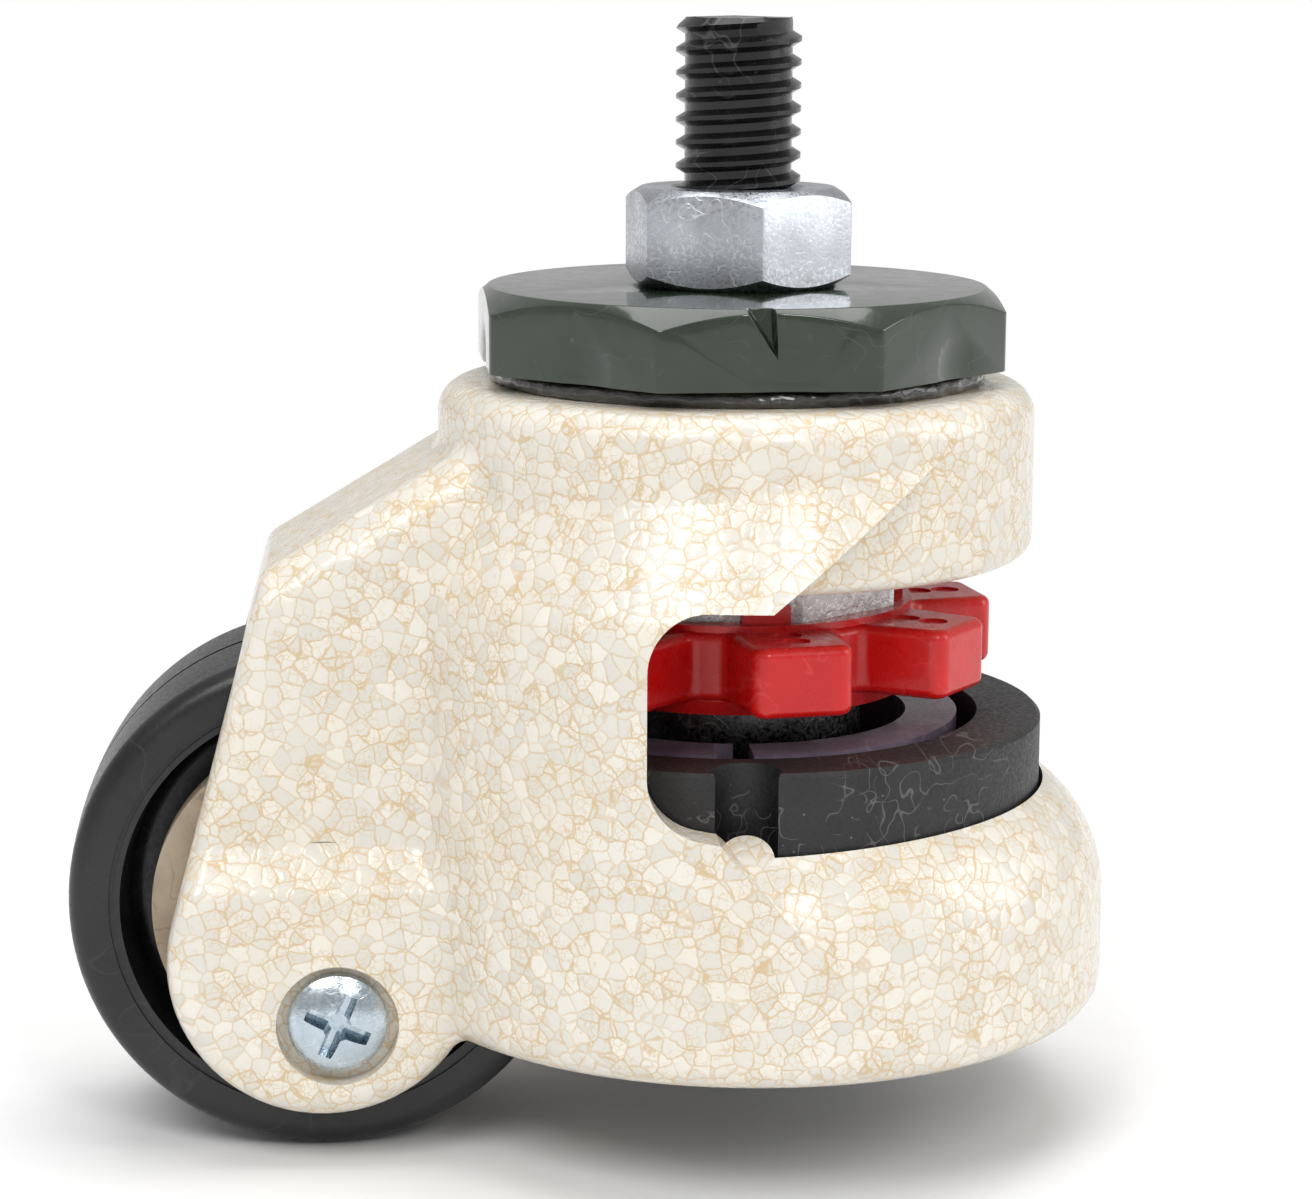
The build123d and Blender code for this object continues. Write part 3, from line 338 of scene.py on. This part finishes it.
plainCoat = {
    "dark": (0.4, 0.4, 0.4), "light": (0.6, 0.6, 0.6), "mark": (0.8, 0.8, 0.8),
    "mottle": 120.0, "grain": 2500.0, "scratch": 260.0, "speck": 900.0,
    "scratchAmount": 0.4, "speckAmount": 0.2, "smooth": 0.25, "rough": 0.4,
    "grainHeight": 0.3, "bump": 0.25, "depth": 0.0001, "metal": 0.0, "coat": 0.0,
}
coats = {
    "cap_enamel": coatLike(
        plainCoat, dark=(0.011, 0.019, 0.010), light=(0.018, 0.030, 0.016),
        mark=(0.09, 0.11, 0.08), scratchAmount=0.25, speckAmount=0.4, speck=420.0,
        smooth=0.12, rough=0.2, grainHeight=0.25, grain=420.0, bump=0.2, depth=0.0002, coat=0.6,
    ),
    "stem_black": coatLike(
        plainCoat, dark=(0.006, 0.006, 0.007), light=(0.02, 0.02, 0.021), mark=(0.2, 0.2, 0.2),
        scratchAmount=0.3, smooth=0.18, rough=0.34, metal=0.5, coat=0.35, grain=1400.0,
    ),
    "nut_zinc": coatLike(
        plainCoat, dark=(0.42, 0.43, 0.46), light=(0.62, 0.65, 0.7), mark=(0.85, 0.86, 0.88),
        scratch=420.0, scratchAmount=0.8, smooth=0.22, rough=0.42, metal=1.0, bump=0.35,
    ),
    "seal_rubber": coatLike(
        plainCoat, dark=(0.004, 0.004, 0.004), light=(0.015, 0.013, 0.011),
        mark=(0.05, 0.05, 0.05), grain=900.0, grainHeight=1.0, smooth=0.05, rough=0.2,
        bump=0.6, depth=0.0003, coat=1.0,
    ),
    "ball_steel": coatLike(plainCoat, smooth=0.08, rough=0.15, metal=1.0, scratchAmount=0.1),
    "race_steel": coatLike(
        plainCoat, dark=(0.25, 0.25, 0.26), light=(0.4, 0.4, 0.41), metal=1.0
    ),
    "wheel_nylon": coatLike(
        plainCoat, dark=(0.006, 0.006, 0.007), light=(0.014, 0.014, 0.015),
        mark=(0.06, 0.06, 0.06), scratchAmount=0.25, speckAmount=0.15, smooth=0.28,
        rough=0.42, grainHeight=0.2, scratch=150.0,
    ),
    "bearing_steel": coatLike(plainCoat, metal=1.0, smooth=0.15, rough=0.25),
    "axle_steel": coatLike(plainCoat, metal=1.0, smooth=0.2, rough=0.3),
    "washer_steel": coatLike(plainCoat, metal=1.0, smooth=0.25, rough=0.4, light=(0.5, 0.5, 0.48)),
    # axle carriers: the housing's cream paint darkened to a tan, painted shade for their place
    # deep in the wheel recess
    "carrier_plastic": coatLike(
        plainCoat, dark=(0.24, 0.18, 0.12), light=(0.36, 0.3, 0.22), mark=(0.1, 0.07, 0.04),
        smooth=0.4, rough=0.55,
    ),
    "screw_zinc": coatLike(
        plainCoat, dark=(0.42, 0.5, 0.56), light=(0.68, 0.74, 0.78), mark=(0.9, 0.92, 0.94),
        scratch=500.0, scratchAmount=0.5, smooth=0.14, rough=0.3, metal=1.0,
    ),
    "thumbwheel_plastic": coatLike(
        plainCoat, dark=(0.55, 0.004, 0.004), light=(0.68, 0.007, 0.007),
        mark=(0.95, 0.2, 0.18), scratchAmount=0.15, speckAmount=0.1, grain=700.0,
        smooth=0.24, rough=0.36, grainHeight=0.35, bump=0.2, coat=0.15,
    ),
    "insert_zinc": coatLike(
        plainCoat, dark=(0.4, 0.4, 0.4), light=(0.75, 0.75, 0.74), mark=(0.9, 0.9, 0.9),
        grain=1300.0, grainHeight=1.0, smooth=0.25, rough=0.5, metal=0.9, bump=0.5,
    ),
    "pad_rubber": coatLike(
        plainCoat, dark=(0.008, 0.008, 0.009), light=(0.018, 0.017, 0.018),
        mark=(0.22, 0.22, 0.22), speck=1100.0, speckAmount=0.6, scratch=330.0,
        scratchAmount=0.4, smooth=0.42, rough=0.62, grainHeight=0.6, bump=0.4,
    ),
    "plate_steel": coatLike(
        plainCoat, dark=(0.10, 0.07, 0.11), light=(0.2, 0.16, 0.21), mark=(0.4, 0.36, 0.42),
        smooth=0.3, rough=0.45, coat=0.2,
    ),
    "tube_steel": coatLike(
        plainCoat, dark=(0.1, 0.1, 0.1), light=(0.25, 0.25, 0.25), metal=1.0, smooth=0.2
    ),
}
enamel = {
    "cells": 640.0, "mottle": 90.0, "speck": 900.0, "pale": (0.80, 0.765, 0.69),
    "grey": (0.66, 0.64, 0.585), "warm": (0.72, 0.65, 0.52), "vein": (0.60, 0.42, 0.20),
    "veinAmount": 0.8, "smooth": 0.2, "rough": 0.42, "bump": 0.35, "depth": 0.00012,
    "metal": 0.0, "coat": 0.25,
}
materials = {slot: makeCoat(slot + "Finish", settings) for slot, settings in coats.items()}
materials["housing_enamel"] = makeEnamel("hammeredEnamel", enamel)
print("stage: finishes made")


# the castor's own pieces

def setActive(piece):
    bpy.ops.object.select_all(action="DESELECT")
    piece.select_set(True)
    bpy.context.view_layer.objects.active = piece


def dress(piece, slot):
    piece.data.materials.clear()
    piece.data.materials.append(materials[slot])


slotOfNode = {row["node"]: row["material_slot"] for row in frame["record"]["subparts"]}
bodyOfNode = {
    node: body for body, group in frame["record"]["behaviour"]["bodies"].items() for node in group
}
for nodeName, piece in cadNodes.items():
    dress(piece, slotOfNode[nodeName])


def settle(piece, name, nodeName):
    # the finished piece takes its CAD node's place
    setActive(piece)
    bpy.ops.object.transform_apply(location=True, rotation=True, scale=True)
    piece.name = name
    dress(piece, slotOfNode[nodeName])
    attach(piece, bodyOfNode[nodeName])
    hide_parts(nodeName)


def soften(nodeName, name, settings):
    # a copy of a CAD node with its sharp edges broken
    setActive(cadNodes[nodeName])
    bpy.ops.object.duplicate()
    piece = bpy.context.active_object
    piece.parent = None
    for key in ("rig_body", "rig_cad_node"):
        if key in piece:
            del piece[key]
    bpy.ops.object.mode_set(mode="EDIT")
    bpy.ops.mesh.select_all(action="SELECT")
    bpy.ops.mesh.remove_doubles(threshold=settings["merge"])
    bpy.ops.mesh.dissolve_limited(angle_limit=settings["flat"])
    bpy.ops.object.mode_set(mode="OBJECT")
    if piece.data.has_custom_normals:
        bpy.ops.mesh.customdata_custom_splitnormals_clear()
    bevel = piece.modifiers.new("edges", "BEVEL")
    bevel.width = settings["width"]
    bevel.segments = settings["steps"]
    bevel.limit_method = "ANGLE"
    bevel.angle_limit = math.radians(settings["angle"])
    bevel.use_clamp_overlap = True
    bpy.ops.object.modifier_apply(modifier=bevel.name)
    bpy.ops.object.shade_smooth_by_angle(angle=math.radians(settings["angle"]))
    settle(piece, name, nodeName)


capEdges = {"merge": 2e-6, "flat": 0.002, "width": 0.35 * mm, "steps": 4, "angle": 24}
nutEdges = {"merge": 2e-6, "flat": 0.002, "width": 0.22 * mm, "steps": 3, "angle": 24}
soften("swivel_cap", "swivelCap", capEdges)
soften("lock_nut", "lockNut", nutEdges)
print("stage: cap and nut")

# millimetres, apart from steps, spareTurns and smoothBelow
thread = {
    "pitch": 2.2, "crest": 6.0, "depth": 0.86, "crestFlat": 0.42, "rootFlat": 0.72,
    "bottom": 0.0, "top": 25.38, "steps": 64, "tip": 0.9, "shank": 5.7, "pin": 5.0,
    "overlap": 0.2, "spareTurns": 2, "smoothBelow": 32,
}


def turnedRod(radius, low, high):
    bpy.ops.mesh.primitive_cylinder_add(
        vertices=thread["steps"], radius=radius * mm, depth=(high - low) * mm,
        location=(0, 0, (high + low) / 2 * mm),
    )
    return bpy.context.active_object


def makeStem():
    root = thread["crest"] - thread["depth"]
    flank = (thread["pitch"] - thread["crestFlat"] - thread["rootFlat"]) / 2
    corners = [
        (root, 0.0), (root, thread["rootFlat"]), (thread["crest"], thread["rootFlat"] + flank),
        (thread["crest"], thread["rootFlat"] + flank + thread["crestFlat"]),
        (root, thread["pitch"]),
    ]
    low = thread["bottom"] - thread["spareTurns"] * thread["pitch"]
    # one point, drawn out into the profile of a single turn
    bpy.ops.mesh.primitive_plane_add(size=mm, location=(corners[0][0] * mm, 0, low * mm))
    piece = bpy.context.active_object
    bpy.ops.object.mode_set(mode="EDIT")
    bpy.ops.mesh.select_all(action="SELECT")
    bpy.ops.mesh.merge(type="CENTER")
    for (r0, z0), (r1, z1) in zip(corners, corners[1:]):
        step = ((r1 - r0) * mm, 0, (z1 - z0) * mm)
        bpy.ops.mesh.extrude_vertices_move(TRANSFORM_OT_translate={"value": step})
    bpy.ops.object.mode_set(mode="OBJECT")
    bpy.ops.object.transform_apply(location=True, rotation=True, scale=True)
    screw = piece.modifiers.new("thread", "SCREW")
    screw.axis = "Z"
    screw.angle = math.tau
    screw.screw_offset = thread["pitch"] * mm
    turns = math.ceil((thread["top"] - low) / thread["pitch"])
    screw.iterations = turns + thread["spareTurns"]
    screw.steps = thread["steps"]
    screw.render_steps = thread["steps"]
    screw.use_merge_vertices = True
    screw.merge_threshold = 2e-6
    screw.use_normal_calculate = True
    bpy.ops.object.modifier_apply(modifier=screw.name)
    bpy.ops.object.mode_set(mode="EDIT")
    for height, side in ((thread["bottom"], -1), (thread["top"], 1)):
        bpy.ops.mesh.select_all(action="SELECT")
        bpy.ops.mesh.bisect(
            plane_co=(0, 0, height * mm), plane_no=(0, 0, side), use_fill=True, clear_outer=True
        )
    bpy.ops.mesh.select_all(action="SELECT")
    bpy.ops.mesh.remove_doubles(threshold=1e-6)
    bpy.ops.mesh.normals_make_consistent(inside=False)
    bpy.ops.object.mode_set(mode="OBJECT")
    # the tip's chamfer: nothing reaches past a cone there
    limit = thread["crest"] - thread["tip"]
    for vertex in piece.data.vertices:
        allowed = limit * mm + (thread["top"] * mm - vertex.co.z)
        radius = math.hypot(vertex.co.x, vertex.co.y)
        if radius > allowed:
            vertex.co.x *= allowed / radius
            vertex.co.y *= allowed / radius
    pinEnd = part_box("threaded_stem")[0].z / mm
    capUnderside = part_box("swivel_cap")[0].z / mm
    rods = [
        turnedRod(thread["shank"], capUnderside, thread["bottom"] + thread["overlap"]),
        turnedRod(thread["pin"], pinEnd, capUnderside + thread["overlap"]),
    ]
    setActive(piece)
    for rod in rods:
        rod.select_set(True)
    bpy.ops.object.join()
    bpy.ops.object.shade_smooth_by_angle(angle=math.radians(thread["smoothBelow"]))
    settle(piece, "threadedStem", "threaded_stem")


makeStem()
print("stage: stem")

grease = {
    "radius": 23.25, "thick": 0.78, "lumps": 0.42, "lumpsPerMm": 0.9, "fine": 0.16,
    "finePerMm": 3.1, "around": 420, "across": 14,
}


def makeGrease():
    low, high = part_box("race_seal")
    bpy.ops.mesh.primitive_torus_add(
        major_segments=grease["around"], minor_segments=grease["across"],
        major_radius=grease["radius"] * mm, minor_radius=grease["thick"] * mm,
        location=(0, 0, (low.z + high.z) / 2),
    )
    piece = bpy.context.active_object
    bpy.ops.object.transform_apply(location=True, rotation=True, scale=True)
    # lumps on the outer side, kept inside the seal's own box
    for vertex in piece.data.vertices:
        spot = vertex.co / mm
        lump = noise.noise(spot * grease["lumpsPerMm"]) * grease["lumps"]
        lump += noise.noise(spot * grease["finePerMm"]) * grease["fine"]
        around = math.hypot(vertex.co.x, vertex.co.y)
        if around > grease["radius"] * mm:
            reach = min(around + lump * mm, high.x) / around
            vertex.co.x *= reach
            vertex.co.y *= reach
        vertex.co.z = min(max(vertex.co.z, low.z), high.z)
    bpy.ops.object.shade_smooth()
    settle(piece, "greasyRaceSeal", "race_seal")


makeGrease()
print("stage: race seal")

# floor, light and camera

# paper that shows shadow near the castor and is plain white further out
paperSheet = {
    "size": 8, "near": 0.085, "far": 0.2, "middle": (-0.012, 0.01, 0.0), "fibre": 900.0,
    "fibreDetail": 3.0, "dark": (0.90, 0.90, 0.90), "light": (0.95, 0.95, 0.95), "rough": 0.8,
}
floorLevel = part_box("wheel")[0].z
paper, tree, place = startMaterial("palePaper")
fromMiddle = put(
    tree, "ShaderNodeVectorMath", {0: place, 1: paperSheet["middle"]}, operation="DISTANCE"
)
fade = between(tree, fromMiddle.outputs["Value"], paperSheet["near"], paperSheet["far"])
fibre = put(
    tree, "ShaderNodeTexNoise",
    {"Scale": paperSheet["fibre"], "Detail": paperSheet["fibreDetail"]},
)
paperColour = tint(tree, fibre.outputs[0], paperSheet["dark"], paperSheet["light"])
shaded = put(
    tree, "ShaderNodeBsdfPrincipled",
    {"Base Color": paperColour, "Roughness": paperSheet["rough"]},
)
blank = put(tree, "ShaderNodeEmission", {"Color": (1, 1, 1, 1), "Strength": 1.0})
blended = put(tree, "ShaderNodeMixShader", {0: fade, 1: shaded.outputs[0], 2: blank.outputs[0]})
tree.links.new(blended.outputs[0], tree.nodes.new("ShaderNodeOutputMaterial").inputs[0])
bpy.ops.mesh.primitive_plane_add(size=paperSheet["size"], location=(0, 0, floorLevel))
floor = bpy.context.active_object
floor.name = "studioFloor"
floor.data.materials.append(paper)

studio = {"fill": 0.5, "backdrop": 1.0}
world = bpy.data.worlds.new("studio")
bpy.context.scene.world = world
world.use_nodes = True
tree = world.node_tree
tree.nodes.clear()
path = tree.nodes.new("ShaderNodeLightPath")
fill = put(
    tree, "ShaderNodeBackground", {"Color": (1, 1, 1, 1), "Strength": studio["fill"]}
)
backdrop = put(
    tree, "ShaderNodeBackground", {"Color": (1, 1, 1, 1), "Strength": studio["backdrop"]}
)
chosen = tree.nodes.new("ShaderNodeMixShader")
tree.links.new(path.outputs["Is Camera Ray"], chosen.inputs[0])
tree.links.new(fill.outputs[0], chosen.inputs[1])
tree.links.new(backdrop.outputs[0], chosen.inputs[2])
tree.links.new(chosen.outputs[0], tree.nodes.new("ShaderNodeOutputWorld").inputs[0])


lamps = {
    "keyLight": {"place": (-0.28, -0.45, 0.5), "size": (0.3, 0.3), "power": 1.9},
    "windowLight": {"place": (0.12, -0.5, 0.32), "size": (0.1, 0.22), "power": 0.7},
    "topLight": {"place": (0.0, 0.05, 0.7), "size": (0.6, 0.6), "power": 3.0},
    "sideLight": {"place": (0.6, -0.1, 0.2), "size": (0.3, 0.4), "power": 1.0},
}
lampTarget = Vector((-0.01, 0, -0.03))
for name, settings in lamps.items():
    bpy.ops.object.light_add(type="AREA", location=settings["place"])
    lamp = bpy.context.active_object
    lamp.name = name
    lamp.data.shape = "RECTANGLE"
    lamp.data.size, lamp.data.size_y = settings["size"]
    lamp.data.energy = settings["power"]
    lamp.rotation_mode = "QUATERNION"
    lamp.rotation_quaternion = (lampTarget - lamp.location).to_track_quat("-Z", "Y")

view = {
    "place": (-0.0329211, -0.3236031, 0.0307964), "aim": (-0.007686, 0.0, -0.030969),
    "roll": 0.271, "lens": 92.4, "clip": 0.01,
}
cameraData = bpy.data.cameras.new("mainCamera")
camera = bpy.data.objects.new("mainCamera", cameraData)
bpy.context.scene.collection.objects.link(camera)
cameraData.lens = view["lens"]
cameraData.clip_start = view["clip"]
camera.location = view["place"]
camera.rotation_mode = "QUATERNION"
facing = (Vector(view["aim"]) - Vector(view["place"])).to_track_quat("-Z", "Y")
roll = Quaternion((0, 0, 1), math.radians(view["roll"]))
camera.rotation_quaternion = facing @ roll
bpy.context.scene.camera = camera
bpy.context.scene.view_settings.view_transform = "Standard"
print("stage: studio")
